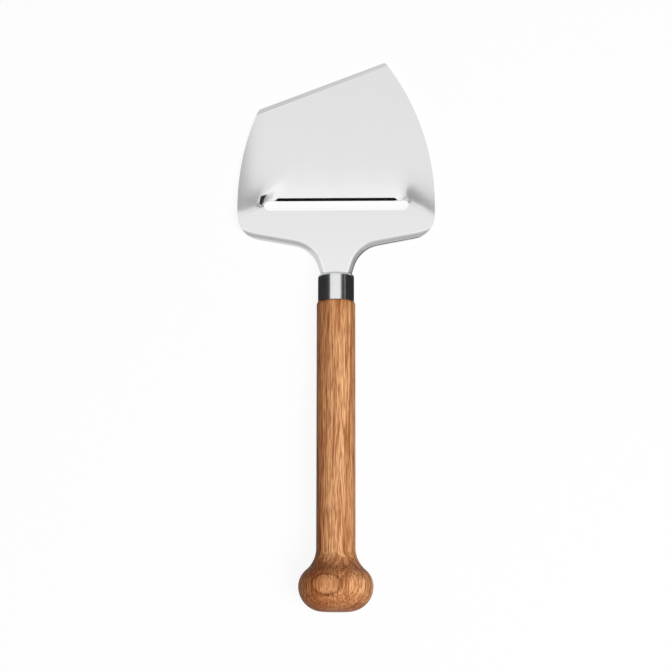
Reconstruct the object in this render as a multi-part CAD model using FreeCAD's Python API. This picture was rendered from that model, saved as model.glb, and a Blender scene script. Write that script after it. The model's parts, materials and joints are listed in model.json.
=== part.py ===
import FreeCAD
import Part
import math
import os

from FreeCAD import Vector

# Cheese plane: a pressed steel blade with a slot, held in a turned wooden handle by a steel ferrule.
#
# All sizes are in millimetres. The tool is drawn with the flat sole of its blade in the plane Z = 0,
# its top side up, its tip towards +Y and its slot along X. The seat, where the neck of the blade
# meets the ferrule, lies at X = 0 and Y = 0. The handle runs from there towards -Y, in line with the
# neck. The last step lays the tool down as it rests on a table.

# ------------------------------------------------------------------ driving sizes, mm and degrees

SHEET = 1.4                 # thickness of the blade's steel

# Outline of the blade, seen from above
HEAD_WIDTH = 85.4           # across its widest part
HEAD_WIDEST_Y = 31.8        # how far the widest part lies from the seat
SIDE_RADIUS = 106.0         # the bowed sides
TIP_Y = 87.5                # how far the tip's edge lies from the seat, along the middle
TIP_SLANT = 20.9            # slope of the tip's edge
TIP_CORNER_RADIUS = 1.0
CORNER_RADIUS = 10.0        # between a shoulder and a side
SHOULDER_Y = 10.0           # where the two shoulder lines would meet, along the middle
SHOULDER_SLOPE = 10.4
NECK_WIDTH = 12.9           # at the seat
NECK_TAPER = 17.3           # slope of the neck's two edges against its middle
NECK_RADIUS = 13.0          # between the neck and a shoulder

# Pressed forms of the blade
SLICE = 2.4                 # thickness of a slice: from the cutting edge up to the shoulder plate
LIP_DROP = 0.6              # how far the cutting edge lies below the flat sole
LIP_POWER = 2.4             # how late the lip dips, towards the cutting edge
FLANK_POWER = 3.0           # how late the flanks climb, towards the crease
PRESS_END_Y = 55.0          # where lip and flanks start to leave the flat sole
LEFT_CREASE_DROP = 2.3      # how far the left crease runs back towards the handle, from slot to side
LEFT_CREASE_CURL = 1.0      # it falls early and then levels out
RIGHT_CREASE_DROP = 8.0
RIGHT_CREASE_CURL = -0.3    # it starts level and falls late
CREASE_EASE = 1.4           # half the width of the soft bend along each crease
LEFT_CLIMB_LENGTH = 3.6     # over which the lip climbs sideways to its flank, beside the slot
LEFT_CLIMB_LEAN = 35.0      # how far that climb leans inwards, going towards the tip
RIGHT_CLIMB_LENGTH = 5.0
RIGHT_CLIMB_LEAN = 0.0
RIGHT_CLIMB_INSET = 1.2     # how far inside the slot's end the middle of the right climb lies
CLIMB_SPREAD = 0.6          # growth of the climb's length for each millimetre from the slot
CLIMB_BACK_WIDTH = 3.0      # width, inside each slot end, in which the lip climbs back to the plate
FLANGE_RADIUS = 2.4         # outside of the bend that turns down the edge of shoulders and neck
FLANGE_DEPTH = 3.0          # height of the turned-down edge
FLANGE_FADE_RADIUS = 26.0   # the curve on which the bend leaves the outline, round each corner
FLANGE_FADE_LENGTH = 6.0    # the length over which the turned-down edge then runs out

# Slot and ground edges
SLOT_LENGTH = 62.4
SLOT_WIDTH = 5.1
SLOT_Y = 28.4               # how far the shoulder plate's edge of the slot lies from the seat
LIP_BEVEL_WIDTH = 1.0
LIP_BEVEL_MARGIN = 3.0      # from each end of the bevel to the slot's end
LIP_BEVEL_RUN_OUT = 3.0
LIP_EDGE = 0.2              # steel left at the cutting edge
TIP_BEVEL_WIDTH = 1.7
TIP_BEVEL_SKEW = 0.5        # the tip's bevel widens to the left by this angle
TIP_EDGE = 0.5              # steel left at the tip's edge

# Tang
TANG_WIDTH = 8.0
TANG_LENGTH = 52.0
TANG_POINT_LENGTH = 6.0
TANG_POINT_WIDTH = 3.0
KEY_HOLE_DIAMETER = 3.2     # holes that the adhesive fills, so that the tang cannot draw out
KEY_HOLE_COUNT = 2
KEY_HOLE_PITCH = 12.0

# Ferrule
FERRULE_DIAMETER = 15.45
FERRULE_LENGTH = 12.0
FERRULE_WALL = 0.8
FERRULE_END = 1.0           # thickness of its closed end
FERRULE_RIM_RADIUS = 1.0
SLIT_CLEARANCE = 0.1        # round the tang, in the closed end

# Handle
SHAFT_DIAMETER = 16.55
SHAFT_ROUNDING = 1.3        # length of the rounded start of the shaft, beside the ferrule
TENON_CLEARANCE = 0.05      # glue line between the ferrule and the tenon
TENON_GAP = 0.2             # between the tenon's end and the ferrule's closed end
BORE_DIAMETER = 8.8
BORE_SPARE = 3.0            # how much deeper the bore is than the tang is long
DRILL_POINT_ANGLE = 118.0
KNOB_DIAMETER = 31.45
KNOB_CENTRE = 132.9         # from the seat to the widest part of the knob
KNOB_UPPER_RADIUS = 9.0     # the knob's curve towards the shaft
KNOB_LOWER_RADIUS = 10.4    # the knob's curve towards its flat end
KNOB_FLARE_RADIUS = 12.0    # between the shaft and the knob

# ------------------------------------------------------------------ sizes that follow from them

HALF_WIDTH = HEAD_WIDTH / 2
NECK_HALF = NECK_WIDTH / 2
PRESS_DEPTH = SLICE - LIP_DROP              # from the sole up to the underside of the shoulder plate
PLATE_TOP = PRESS_DEPTH + SHEET
SLOT_HALF = SLOT_LENGTH / 2
SLOT_RADIUS = SLOT_WIDTH / 2
LIP_Y = SLOT_Y + SLOT_WIDTH
CREASE_X = SLOT_HALF - 0.2 * SLOT_RADIUS    # each crease starts inside the slot's round end
LEFT_CREASE_Y = LIP_Y - 0.7 * SLOT_RADIUS
RIGHT_CREASE_Y = LIP_Y
SHAFT_START = FERRULE_LENGTH + SHAFT_ROUNDING

BLOCK = 12.0                                # how far cutting and trimming blocks reach past the work
REACH = HALF_WIDTH + BLOCK
SEAT = Vector(0, 0, PLATE_TOP - SHEET / 2)
TOWARDS_KNOB = Vector(0, -1, 0)
UP = Vector(0, 0, 1)
X_AXIS = Vector(1, 0, 0)
START = Vector(0, 0, 0)


# ------------------------------------------------------------------ helpers

def heading(degrees):
    """The direction in plan that lies this far to the left of +X."""
    return Vector(math.cos(math.radians(degrees)), math.sin(math.radians(degrees)), 0)


def meeting(a, along_a, b, along_b):
    """Where the line through a meets the line through b, in plan."""
    gap = b - a
    across = along_a.x * along_b.y - along_a.y * along_b.x
    return a + along_a * ((gap.x * along_b.y - gap.y * along_b.x) / across)


def line(a, b):
    return Part.LineSegment(a, b).toShape()


def arc(centre, a, b):
    """The shorter arc from a to b round centre."""
    to_middle = (a - centre).normalize() + (b - centre).normalize()
    middle = centre + to_middle.normalize() * centre.distanceToPoint(a)
    return Part.Arc(a, middle, b).toShape()


def arcs(centre, a, b, count):
    """The arc from a to b as a chain of equal arcs."""
    to_start = a - centre
    axis = to_start.cross(b - centre)
    turn = math.degrees(to_start.getAngle(b - centre))
    turns = [FreeCAD.Rotation(axis, turn * i / count) for i in range(count + 1)]
    points = [centre + step.multVec(to_start) for step in turns]
    return [arc(centre, start, stop) for start, stop in zip(points, points[1:])]


def polygon_face(points):
    return Part.Face(Part.makePolygon(points + points[:1]))


def prism(edges, low, high):
    """The solid over a closed plan drawing, from height low to height high."""
    face = Part.Face(Part.Wire(Part.__sortEdges__(edges)))
    face.translate(UP * low)
    return face.extrude(UP * (high - low))


def both_hands(edges):
    return edges + [edge.mirror(START, X_AXIS) for edge in edges]


def box(x0, x1, y0, y1, z0, z1):
    return Part.makeBox(x1 - x0, y1 - y0, z1 - z0, Vector(x0, y0, z0))


def on_handle_axis(shape):
    """Lays a shape that is drawn along +Z, with the seat at its origin, onto the handle's axis."""
    turn = FreeCAD.Rotation(UP, TOWARDS_KNOB)
    return shape.transformed(FreeCAD.Placement(SEAT, turn).toMatrix())


# ------------------------------------------------------------------ the blade in plan

def neck_and_shoulder(grow, start_y):
    """The right edge of neck and shoulder, moved outwards by grow, up to the corner's start."""
    neck_out = heading(-NECK_TAPER)
    neck_along = heading(90 - NECK_TAPER)
    shoulder_out = heading(SHOULDER_SLOPE - 90)
    shoulder_along = heading(SHOULDER_SLOPE)
    neck = Vector(NECK_HALF, 0, 0)
    shoulder = Vector(0, SHOULDER_Y, 0)

    radius = NECK_RADIUS - grow
    centre = meeting(neck + neck_out * NECK_RADIUS, neck_along,
                     shoulder + shoulder_out * NECK_RADIUS, shoulder_along)
    start = meeting(neck + neck_out * grow, neck_along, Vector(0, start_y, 0), X_AXIS)
    neck_stop = centre - neck_out * radius
    shoulder_start = centre - shoulder_out * radius
    stop = corner_centre() + shoulder_out * (CORNER_RADIUS + grow)
    edges = [
        line(start, neck_stop),
        arc(centre, neck_stop, shoulder_start),
        line(shoulder_start, stop),
    ]
    return edges, start, stop


def side_centre():
    return Vector(HALF_WIDTH - SIDE_RADIUS, HEAD_WIDEST_Y, 0)


def crossing(start, along, centre, radius):
    """Where a line, followed forwards from start, leaves the circle round centre."""
    offset = start - centre
    half = offset.dot(along)
    return start + along * (math.sqrt(half ** 2 - offset.dot(offset) + radius ** 2) - half)


def corner_centre():
    """Centre of the corner's arc, which touches the shoulder line and, from inside, the side."""
    along = heading(SHOULDER_SLOPE)
    start = Vector(0, SHOULDER_Y, 0) + heading(SHOULDER_SLOPE + 90) * CORNER_RADIUS
    return crossing(start, along, side_centre(), SIDE_RADIUS - CORNER_RADIUS)


def tip_corner(hand):
    """Where the tip's edge meets a side; hand is 1 on the right and -1 on the left."""
    mirrored = crossing(Vector(0, TIP_Y, 0), heading(hand * TIP_SLANT), side_centre(), SIDE_RADIUS)
    return Vector(hand * mirrored.x, mirrored.y, 0)


def outline():
    """Everything above and below the outline of the blade, which ends a little below the seat."""
    half, start, corner_start = neck_and_shoulder(0.0, -SHEET)
    corner = corner_centre()
    centre = side_centre()
    corner_stop = centre + (corner - centre).normalize() * SIDE_RADIUS
    half.append(arc(corner, corner_start, corner_stop))
    right = tip_corner(1)
    left = tip_corner(-1)
    left_side = arc(centre, corner_stop, Vector(-left.x, left.y, 0))
    edges = both_hands(half) + [
        arc(centre, corner_stop, right),
        left_side.mirror(START, X_AXIS),
        line(left, right),
        line(start, Vector(-start.x, start.y, 0)),
    ]
    block = prism(edges, -BLOCK, BLOCK)
    corners = []
    for edge in block.Edges:
        middle = edge.CenterOfMass
        if min(math.hypot(middle.x - tip.x, middle.y - tip.y) for tip in (left, right)) < 0.01:
            corners.append(edge)
    return block.makeFillet(TIP_CORNER_RADIUS, corners)


def slot():
    """The round-ended slot, through the whole height."""
    straight = SLOT_HALF - SLOT_RADIUS
    tool = box(-straight, straight, SLOT_Y, LIP_Y, -BLOCK, BLOCK)
    for x in (-straight, straight):
        foot = Vector(x, SLOT_Y + SLOT_RADIUS, -BLOCK)
        tool = tool.fuse(Part.makeCylinder(SLOT_RADIUS, 2 * BLOCK, foot))
    return tool.removeSplitter()


# ------------------------------------------------------------------ the shoulder plate

def press_block(grow, top, radius):
    """A block with the form of the shoulder plate and its turned-down edges."""
    half, start, corner_start = neck_and_shoulder(grow, -BLOCK / 4)
    fade_radius = FLANGE_FADE_RADIUS + grow
    fade_centre = corner_start + heading(SHOULDER_SLOPE + 90) * fade_radius
    fade_stop = fade_centre + X_AXIS * fade_radius
    back = Vector(fade_stop.x, PRESS_END_Y, 0)
    half += [arc(fade_centre, corner_start, fade_stop), line(fade_stop, back)]
    edges = both_hands(half) + [
        line(back, Vector(-back.x, back.y, 0)),
        line(start, Vector(-start.x, start.y, 0)),
    ]
    block = prism(edges, -BLOCK, top)
    bends = []
    for edge in block.Edges:
        extent = edge.BoundBox
        if extent.ZMin > top - 0.01 and extent.YLength > 0.01:
            bends.append(edge)
    return block.makeFillet(radius, bends)


def flange_room():
    """The room above the lower edge of the flange, which runs out round each corner."""
    low = PLATE_TOP - FLANGE_DEPTH
    high = PLATE_TOP - SHEET
    fade_start = corner_centre().x
    fade_stop = fade_start + FLANGE_FADE_LENGTH
    half = [(fade_start, low), (fade_stop, high), (REACH, high), (REACH, BLOCK)]
    points = [Vector(x, -BLOCK, z) for x, z in half]
    points += [Vector(-x, -BLOCK, z) for x, z in reversed(half)]
    return polygon_face(points).extrude(Vector(0, BLOCK + PRESS_END_Y, 0))


def shoulder_plate():
    """The flat plate between slot and ferrule, with the edges of shoulders and neck turned down."""
    outside = press_block(0.0, PLATE_TOP, FLANGE_RADIUS)
    inside = press_block(-SHEET, PLATE_TOP - SHEET, FLANGE_RADIUS - SHEET)
    corners = [Vector(x, first_row_y(x), -BLOCK) for x in (-REACH, -CREASE_X, CREASE_X, REACH)]
    corners += [Vector(REACH, -BLOCK, -BLOCK), Vector(-REACH, -BLOCK, -BLOCK)]
    handle_side = polygon_face(corners).extrude(UP * 2 * BLOCK)
    plate = outside.cut(inside)
    plate = plate.common(handle_side)
    plate = plate.common(flange_room())
    return plate.cut(box(-BLOCK, BLOCK, -BLOCK, 0, -BLOCK, BLOCK))


# ------------------------------------------------------------------ lip and flanks

DEGREE = 3
ROWS = 18
FLANK_COLUMNS = 12
LIP_COLUMNS = 40


def crease_form(x):
    """Start, drop and curl of the crease on the side of x, and how far out x lies, from slot to side."""
    out = max(abs(x) - CREASE_X, 0.0) / (HALF_WIDTH - CREASE_X)
    if x < 0:
        return LEFT_CREASE_Y, LEFT_CREASE_DROP, LEFT_CREASE_CURL, out
    return RIGHT_CREASE_Y, RIGHT_CREASE_DROP, RIGHT_CREASE_CURL, out


def crease_y(x):
    """Where the flank bends down from the shoulder plate."""
    start, drop, curl, out = crease_form(x)
    out = min(out, 1.0)
    return start - drop * out * (1 + curl * (1 - out))


def first_row_y(x):
    """Where the pressed surface starts: a straight line on the handle's side of each crease."""
    if abs(x) < CREASE_X:
        left = LEFT_CREASE_Y - CREASE_EASE
        right = RIGHT_CREASE_Y - CREASE_EASE
        return (left + right) / 2 + (right - left) / 2 * x / CREASE_X
    start, drop, curl, out = crease_form(x)
    return start - CREASE_EASE - drop * out * (1 + max(curl, 0.0))


def eased(share):
    """From 0 to 1 along an S-curve with level ends."""
    share = min(max(share, 0.0), 1.0)
    return share * share * (3 - 2 * share)


def climbed(x, y):
    """How far the lip has climbed: sideways to its flank, and round the slot's end to the plate."""
    middle, length, lean = SLOT_HALF - RIGHT_CLIMB_INSET, RIGHT_CLIMB_LENGTH, RIGHT_CLIMB_LEAN
    if x < 0:
        middle, length, lean = SLOT_HALF, LEFT_CLIMB_LENGTH, LEFT_CLIMB_LEAN
    inwards = heading(-lean)
    tipwards = y - LIP_Y
    along = (abs(x) - middle) * inwards.x - tipwards * inwards.y
    side = eased(0.5 + along / (length + CLIMB_SPREAD * max(tipwards, 0.0)))
    first = crease_form(x)[0] - CREASE_EASE
    back = eased(-tipwards / (LIP_Y - first)) * eased(1 + (abs(x) - CREASE_X) / CLIMB_BACK_WIDTH)
    return 1 - (1 - side) * (1 - back)


def pressed_height(x, y):
    """Height of the upper face of lip and flanks."""
    run = max(PRESS_END_Y - y, 0.0)
    climb = PRESS_END_Y - crease_y(x)
    flank = SHEET + PRESS_DEPTH * (run / climb) ** FLANK_POWER
    # The soft bend along the crease: the smaller of two heights, rounded where they are close.
    closeness = CREASE_EASE * FLANK_POWER * PRESS_DEPTH / climb
    overlap = max(closeness - abs(flank - PLATE_TOP), 0.0)
    flank = min(flank, PLATE_TOP) - overlap ** 2 / (4 * closeness)

    lip = SHEET - LIP_DROP * (run / (PRESS_END_Y - LIP_Y)) ** LIP_POWER
    share = climbed(x, y)
    return share * flank + (1 - share) * lip


def knots(count):
    return list(range(count - DEGREE + 1))


def multiplicities(count):
    return [DEGREE + 1] + [1] * (count - DEGREE - 1) + [DEGREE + 1]


def pole_shares(count):
    """How far along an even spline each of its poles lies, from 0 to 1."""
    last = count - DEGREE
    full = [0] * DEGREE + knots(count) + [last] * DEGREE
    return [sum(full[i + 1:i + 1 + DEGREE]) / (DEGREE * last) for i in range(count)]


def pressed_patch(columns, x_at):
    """The sheet under one smooth patch of the pressed surface; x_at gives x for a share of its width."""
    poles = []
    for across in pole_shares(columns):
        x = x_at(across)
        first = first_row_y(x)
        column = []
        for along in pole_shares(ROWS):
            y = first + (PRESS_END_Y - first) * along * (1 + along) / 2
            column.append(Vector(x, y, pressed_height(x, y)))
        poles.append(column)
    surface = Part.BSplineSurface()
    surface.buildFromPolesMultsKnots(
        poles, multiplicities(columns), multiplicities(ROWS), knots(columns), knots(ROWS),
        False, False, DEGREE, DEGREE)
    return surface.toShape().extrude(UP * -SHEET)


def flank_x(share):
    """Closer together at the slot."""
    return CREASE_X + (HALF_WIDTH + SHEET - CREASE_X) * share * (0.4 + 0.6 * share)


def lip_x(share):
    """Closer together at both ends of the slot, where the lip climbs."""
    s = 2 * share - 1
    return CREASE_X * (0.35 * s + 0.65 * math.sin(math.pi / 2 * s))


def pressed_zone():
    """The lip along the slot, and the two flanks that carry it below the shoulder plate."""
    lip = pressed_patch(LIP_COLUMNS, lip_x)
    right = pressed_patch(FLANK_COLUMNS, flank_x)
    left = pressed_patch(FLANK_COLUMNS, lambda share: -flank_x(1 - share))
    return lip.fuse([left, right])


# ------------------------------------------------------------------ ground edges

def wedge_section(low, high):
    """The outline, in the YZ plane, of what grinding takes off above the slope from low up to high."""
    along = (high - low).normalize() * SHEET
    points = [low - along, high + along, Vector(0, low.y - along.y, high.z + along.z)]
    return Part.makePolygon(points + points[:1])


def lip_bevel():
    """The slope above the cutting edge, which runs out upwards at both ends."""
    top = SHEET - LIP_DROP
    low = Vector(0, LIP_Y, top - SHEET + LIP_EDGE)
    high = Vector(0, LIP_Y + LIP_BEVEL_WIDTH, top)
    stop = SLOT_HALF - LIP_BEVEL_MARGIN
    full = stop - LIP_BEVEL_RUN_OUT
    sections = []
    for x, lift in ((-stop, SLICE), (-full, 0), (full, 0), (stop, SLICE)):
        section = wedge_section(low, high)
        section.translate(Vector(x, 0, lift))
        sections.append(section)
    return Part.makeLoft(sections, True, True)


def tip_bevel():
    low = Vector(0, 0, TIP_EDGE)
    high = Vector(0, -TIP_BEVEL_WIDTH, SHEET)
    tool = Part.Face(wedge_section(low, high)).extrude(X_AXIS * 2 * HEAD_WIDTH)
    tool.translate(X_AXIS * -HEAD_WIDTH)
    tool.rotate(START, UP, TIP_SLANT + TIP_BEVEL_SKEW)
    tool.translate(Vector(0, TIP_Y, 0))
    return tool


# ------------------------------------------------------------------ tang and the whole blade

def tang():
    """The flat tang, with its root in the neck."""
    half = SHEET / 2
    wide = TANG_WIDTH / 2
    point = TANG_POINT_WIDTH / 2
    shoulder = TANG_POINT_LENGTH - TANG_LENGTH
    right = [(wide, NECK_HALF), (wide, shoulder), (point, -TANG_LENGTH)]
    plan = right + [(-x, y) for x, y in reversed(right)]
    strip = polygon_face([Vector(x, y, SEAT.z - half) for x, y in plan]).extrude(UP * SHEET)
    for i in range(KEY_HOLE_COUNT):
        y = shoulder + KEY_HOLE_DIAMETER + i * KEY_HOLE_PITCH
        strip = strip.cut(Part.makeCylinder(KEY_HOLE_DIAMETER / 2, BLOCK, Vector(0, y, 0)))
    return strip


def blade():
    """One stamping: head with slot and lip, neck and tang."""
    plan = outline()
    opening = slot()
    plate = shoulder_plate().common(plan).cut(opening)
    pressed = pressed_zone().common(plan).cut(opening)
    sole = box(-REACH, REACH, PRESS_END_Y, TIP_Y + REACH, 0, SHEET).common(plan)
    body = plate.fuse([pressed, sole, tang()])
    body = body.cut(lip_bevel()).cut(tip_bevel())
    return body.removeSplitter()


# ------------------------------------------------------------------ ferrule, handle and adhesive

def turned(edges):
    """The solid that a closed half profile in the XZ plane makes when it is turned round Z."""
    face = Part.Face(Part.Wire(Part.__sortEdges__(edges)))
    return face.revolve(START, UP, 360)


def profile_points(pairs):
    return [Vector(radius, 0, z) for radius, z in pairs]


def chain(points):
    return [line(a, b) for a, b in zip(points, points[1:])]


def ferrule():
    """A drawn steel cap; its closed end has a slit for the tang."""
    radius = FERRULE_DIAMETER / 2
    inner = radius - FERRULE_WALL
    face_end, rim_stop, far, far_inner, corner, middle = profile_points([
        (radius - FERRULE_RIM_RADIUS, 0),
        (radius, FERRULE_RIM_RADIUS),
        (radius, FERRULE_LENGTH),
        (inner, FERRULE_LENGTH),
        (inner, FERRULE_END),
        (0, FERRULE_END),
    ])
    rim_centre = Vector(face_end.x, 0, rim_stop.z)
    edges = chain([rim_stop, far, far_inner, corner, middle, START, face_end])
    edges += arcs(rim_centre, face_end, rim_stop, 2)
    cap = turned(edges)
    wide = TANG_WIDTH / 2 + SLIT_CLEARANCE
    thick = SHEET / 2 + SLIT_CLEARANCE
    cap = cap.cut(box(-wide, wide, -thick, thick, -FERRULE_END, 2 * FERRULE_END))
    return on_handle_axis(cap)


def bore_profile():
    """The stepless bore for the tang, with the drill's pointed end."""
    radius = BORE_DIAMETER / 2
    depth = TANG_LENGTH + BORE_SPARE
    tip = depth + radius / math.tan(math.radians(DRILL_POINT_ANGLE / 2))
    return profile_points([(0, tip), (radius, depth), (radius, FERRULE_END + TENON_GAP)])


def handle():
    """Turned wood: a tenon for the ferrule, a straight shaft and a knob with a flat end."""
    shaft = SHAFT_DIAMETER / 2
    ferrule_radius = FERRULE_DIAMETER / 2
    tenon = ferrule_radius - FERRULE_WALL - TENON_CLEARANCE
    knob = KNOB_DIAMETER / 2

    bore_tip, bore_corner, bore_mouth = bore_profile()
    tenon_end, tenon_root, seat_edge, shaft_start = profile_points([
        (tenon, bore_mouth.z),
        (tenon, FERRULE_LENGTH),
        (ferrule_radius, FERRULE_LENGTH),
        (shaft, SHAFT_START),
    ])
    step = shaft - ferrule_radius
    rounding = (step ** 2 + SHAFT_ROUNDING ** 2) / (2 * step)
    rounding_centre = Vector(shaft - rounding, 0, SHAFT_START)

    upper_centre = Vector(knob - KNOB_UPPER_RADIUS, 0, KNOB_CENTRE)
    lower_centre = Vector(knob - KNOB_LOWER_RADIUS, 0, KNOB_CENTRE)
    widest = Vector(knob, 0, KNOB_CENTRE)
    end_edge = lower_centre + UP * KNOB_LOWER_RADIUS
    end_middle = Vector(0, 0, end_edge.z)
    flare_x = shaft + KNOB_FLARE_RADIUS
    flare_reach = KNOB_FLARE_RADIUS + KNOB_UPPER_RADIUS
    flare_length = math.sqrt(flare_reach ** 2 - (flare_x - upper_centre.x) ** 2)
    flare_centre = Vector(flare_x, 0, KNOB_CENTRE - flare_length)
    flare_start = Vector(shaft, 0, flare_centre.z)
    flare_stop = upper_centre + (flare_centre - upper_centre).normalize() * KNOB_UPPER_RADIUS

    edges = chain([bore_tip, bore_corner, bore_mouth, tenon_end, tenon_root, seat_edge])
    edges.append(arc(rounding_centre, seat_edge, shaft_start))
    edges.append(line(shaft_start, flare_start))
    edges += arcs(flare_centre, flare_start, flare_stop, 3)
    edges += arcs(upper_centre, flare_stop, widest, 2)
    edges += arcs(lower_centre, widest, end_edge, 3)
    edges += chain([end_edge, end_middle, bore_tip])
    return on_handle_axis(turned(edges))


def tang_adhesive():
    """The epoxy that fills the bore round the tang and through its key holes."""
    tip, corner, mouth = bore_profile()
    filling = turned(chain([tip, corner, mouth, Vector(0, 0, mouth.z), tip]))
    return on_handle_axis(filling).cut(tang())


# ------------------------------------------------------------------ the tool at rest

def resting_tilt():
    """The angle by which the tool turns on its tip's edge until its ferrule or knob meets the table."""
    inwards = heading(TIP_SLANT - 90)
    rounds = (
        (FERRULE_RIM_RADIUS, FERRULE_DIAMETER / 2, FERRULE_RIM_RADIUS),
        (KNOB_CENTRE, KNOB_DIAMETER / 2, KNOB_UPPER_RADIUS),
    )

    def clearance(angle):
        table_up = inwards * math.sin(angle) + UP * math.cos(angle)
        across = math.sqrt(1 - table_up.dot(TOWARDS_KNOB) ** 2)
        heights = []
        for along, widest, curve in rounds:
            from_tip = SEAT + TOWARDS_KNOB * along - Vector(0, TIP_Y, 0)
            heights.append(from_tip.dot(table_up) - (widest - curve) * across - curve)
        return min(heights)

    low = 0.0
    high = math.radians(45)
    while high - low > 1e-9:
        middle = (low + high) / 2
        if clearance(middle) < 0:
            low = middle
        else:
            high = middle
    return math.degrees(low)


def at_rest(shapes):
    """Lays the tool on the table Z = 0, with the middle of its bounding box over the origin."""
    tip = Vector(0, TIP_Y, 0)
    for shape in shapes.values():
        shape.rotate(tip, heading(TIP_SLANT), -resting_tilt())
    extents = [shape.optimalBoundingBox(False) for shape in shapes.values()]
    middle_x = (min(e.XMin for e in extents) + max(e.XMax for e in extents)) / 2
    middle_y = (min(e.YMin for e in extents) + max(e.YMax for e in extents)) / 2
    lowest = min(e.ZMin for e in extents)
    for shape in shapes.values():
        shape.translate(Vector(-middle_x, -middle_y, -lowest))
    return shapes


def main():
    os.makedirs("parts", exist_ok=True)
    shapes = at_rest({
        "blade": blade(),
        "ferrule": ferrule(),
        "handle": handle(),
        "tang_adhesive": tang_adhesive(),
    })
    for name, shape in shapes.items():
        shape.exportStep("parts/" + name + ".step")


main()
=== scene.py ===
"""Looks for the cheese plane: steel blade and ferrule, turned oak handle, and a pale studio."""

import json
import math

import bpy
from bpy.props import FloatProperty, FloatVectorProperty, IntProperty, PointerProperty
from mathutils import Matrix, Vector


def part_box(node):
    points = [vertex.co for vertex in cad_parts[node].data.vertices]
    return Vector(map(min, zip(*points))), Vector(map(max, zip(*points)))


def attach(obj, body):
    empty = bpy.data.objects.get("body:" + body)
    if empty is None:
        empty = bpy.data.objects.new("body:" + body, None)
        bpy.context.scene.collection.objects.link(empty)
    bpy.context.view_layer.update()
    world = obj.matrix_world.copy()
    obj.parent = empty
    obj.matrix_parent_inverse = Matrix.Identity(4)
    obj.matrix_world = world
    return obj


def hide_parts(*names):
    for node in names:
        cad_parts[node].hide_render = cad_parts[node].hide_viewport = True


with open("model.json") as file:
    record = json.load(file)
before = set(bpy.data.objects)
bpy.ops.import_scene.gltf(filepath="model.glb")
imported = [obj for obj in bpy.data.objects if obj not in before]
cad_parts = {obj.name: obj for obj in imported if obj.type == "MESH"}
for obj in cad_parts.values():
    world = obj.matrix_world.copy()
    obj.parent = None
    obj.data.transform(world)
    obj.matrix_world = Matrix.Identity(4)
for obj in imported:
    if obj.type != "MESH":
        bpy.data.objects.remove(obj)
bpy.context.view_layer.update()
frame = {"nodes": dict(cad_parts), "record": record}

bl_info = {
    "name": "Cheese plane",
    "version": (1, 0, 0),
    "blender": (4, 5, 0),
    "location": "3D View > Sidebar > Cheese plane",
    "description": "Builds the looks of a cheese plane round its CAD model",
    "category": "Add Mesh",
}

BODY = "root"
MM = 0.001


# ------------------------------------------------------------------ sizes and colours

def size_in_mm(name, description, millimetres):
    """A size that is given in millimetres and kept in metres."""
    return FloatProperty(
        name=name, description=description, default=millimetres * MM,
        min=0.0, subtype="DISTANCE", unit="LENGTH", precision=5,
    )


def angle_in_degrees(name, description, degrees):
    """An angle that is given in degrees and kept in radians."""
    return FloatProperty(name=name, description=description, default=math.radians(degrees), subtype="ANGLE")


def colour(name, description, rgb):
    """A colour in linear red, green and blue."""
    return FloatVectorProperty(
        name=name, description=description, default=rgb,
        size=3, min=0.0, max=1.0, subtype="COLOR",
    )


def share(name, description, default):
    """A plain number from 0 to 1."""
    return FloatProperty(name=name, description=description, default=default, min=0.0, max=1.0)


class HandleSizes(bpy.types.PropertyGroup):
    """Sizes of the turned handle; the seat is where the blade meets the ferrule's closed end."""

    shaft_diameter: size_in_mm("Shaft", "Diameter of the straight shaft", 16.55)
    shaft_rounding: size_in_mm("Shaft rounding", "Length of the rounded start of the shaft", 1.3)
    bore_diameter: size_in_mm("Bore", "Diameter of the bore for the tang", 8.8)
    bore_depth: size_in_mm("Bore depth", "From the seat to the end of the bore's straight wall", 55.0)
    tenon_diameter: size_in_mm("Tenon", "Diameter of the tenon inside the ferrule", 13.75)
    tenon_end: size_in_mm("Tenon end", "From the seat to the end of the tenon", 1.2)
    knob_diameter: size_in_mm("Knob", "Diameter of the knob at its widest", 31.45)
    knob_centre: size_in_mm("Knob centre", "From the seat to the widest part of the knob", 132.9)
    knob_upper_radius: size_in_mm("Upper curve", "The knob's curve towards the shaft", 9.0)
    knob_lower_radius: size_in_mm("Lower curve", "The knob's curve towards its flat end", 10.4)
    flare_radius: size_in_mm("Flare", "The curve between the shaft and the knob", 12.0)
    grain_relief: size_in_mm("Grain relief", "Height of the grain that oiling has raised", 0.02)
    sides: IntProperty(name="Sides", description="Faces round the handle", default=192, min=24)


class FerruleSizes(bpy.types.PropertyGroup):
    """Sizes of the ferrule's cap."""

    diameter: size_in_mm("Diameter", "Outside of the ferrule", 15.45)
    length: size_in_mm("Length", "From the seat to the shaft", 12.0)
    wall: size_in_mm("Wall", "Thickness of the wall", 0.8)
    end: size_in_mm("End", "Thickness of the closed end", 1.0)
    rim_radius: size_in_mm("Rim radius", "Rounding round the closed end", 1.0)
    edge_break: size_in_mm("Edge break", "Chamfer of the open end's outer edge", 0.12)
    slit_width: size_in_mm("Slit width", "Slit for the tang, across the blade", 8.2)
    slit_height: size_in_mm("Slit height", "Slit for the tang, through the sheet", 1.6)
    sides: IntProperty(name="Sides", description="Faces round the ferrule", default=160, min=24)


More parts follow.
